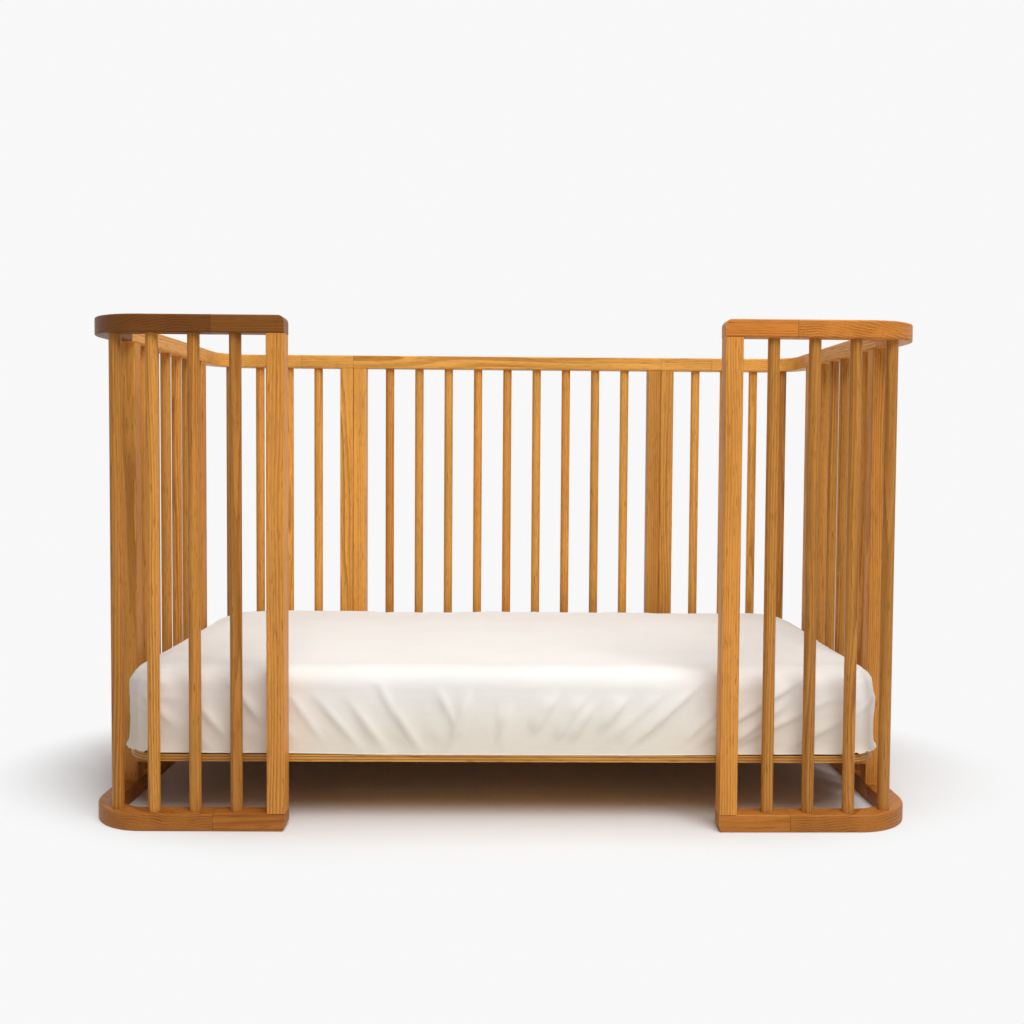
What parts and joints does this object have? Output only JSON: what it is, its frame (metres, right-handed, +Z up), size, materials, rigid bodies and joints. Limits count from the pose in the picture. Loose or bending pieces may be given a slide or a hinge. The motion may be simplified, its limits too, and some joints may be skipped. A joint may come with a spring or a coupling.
{
  "type": "baby crib",
  "caption": "Open-fronted baby crib of oiled wood with rounded end modules, round spindles, a low platform and a sheeted mattress.",
  "frame": {"origin": "on the floor, under the middle of the crib's footprint", "axes": "+Z up, +X along the length to the right seen from the open front, +Y from the open front to the back panel"},
  "size_m": [1.402, 0.786, 0.855],
  "materials": {
    "oiled_wood": "oiled, satin",
    "plywood": "lacquered plywood",
    "pine": "sanded softwood",
    "steel": "zinc plated",
    "ticking": "quilted mattress cover over foam",
    "sheet": "woven cotton"
  },
  "bodies": {
    "frame": {"back_bottom_rail": "oiled_wood", "back_panel_left_post": "oiled_wood", "back_panel_right_post": "oiled_wood", "back_spindle_1": "oiled_wood", "back_spindle_2": "oiled_wood", "back_spindle_3": "oiled_wood", "back_spindle_4": "oiled_wood", "back_spindle_5": "oiled_wood", "back_spindle_6": "oiled_wood", "back_spindle_7": "oiled_wood", "back_spindle_8": "oiled_wood", "back_spindle_9": "oiled_wood", "back_top_rail": "oiled_wood", "bracket_bolts": "steel", "connector_bolts": "steel", "left_back_corner_spindle": "oiled_wood", "left_back_post": "oiled_wood", "left_back_spindle_1": "oiled_wood", "left_back_spindle_2": "oiled_wood", "left_back_spindle_3": "oiled_wood", "left_bottom_rail": "oiled_wood", "left_front_corner_spindle": "oiled_wood", "left_front_post": "oiled_wood", "left_front_spindle_1": "oiled_wood", "left_front_spindle_2": "oiled_wood", "left_front_spindle_3": "oiled_wood", "left_side_back_post": "oiled_wood", "left_side_front_post": "oiled_wood", "left_side_spindle_1": "oiled_wood", "left_side_spindle_2": "oiled_wood", "left_side_spindle_3": "oiled_wood", "left_side_spindle_4": "oiled_wood", "left_side_spindle_5": "oiled_wood", "left_top_rail": "oiled_wood", "platform_bearers": "pine", "platform_deck": "plywood", "platform_stringers": "pine", "right_back_corner_spindle": "oiled_wood", "right_back_post": "oiled_wood", "right_back_spindle_1": "oiled_wood", "right_back_spindle_2": "oiled_wood", "right_back_spindle_3": "oiled_wood", "right_bottom_rail": "oiled_wood", "right_front_corner_spindle": "oiled_wood", "right_front_post": "oiled_wood", "right_front_spindle_1": "oiled_wood", "right_front_spindle_2": "oiled_wood", "right_front_spindle_3": "oiled_wood", "right_side_back_post": "oiled_wood", "right_side_front_post": "oiled_wood", "right_side_spindle_1": "oiled_wood", "right_side_spindle_2": "oiled_wood", "right_side_spindle_3": "oiled_wood", "right_side_spindle_4": "oiled_wood", "right_side_spindle_5": "oiled_wood", "right_top_rail": "oiled_wood", "support_brackets": "steel", "threaded_inserts": "steel"},
    "bedding": {"mattress": "ticking", "fitted_sheet": "sheet"}
  },
  "joints": [
    {"name": "mattress_lift", "type": "slide", "parent": "frame", "child": "bedding", "axis": [0, 0, 1], "range_m": [0, 0.75]}
  ]
}
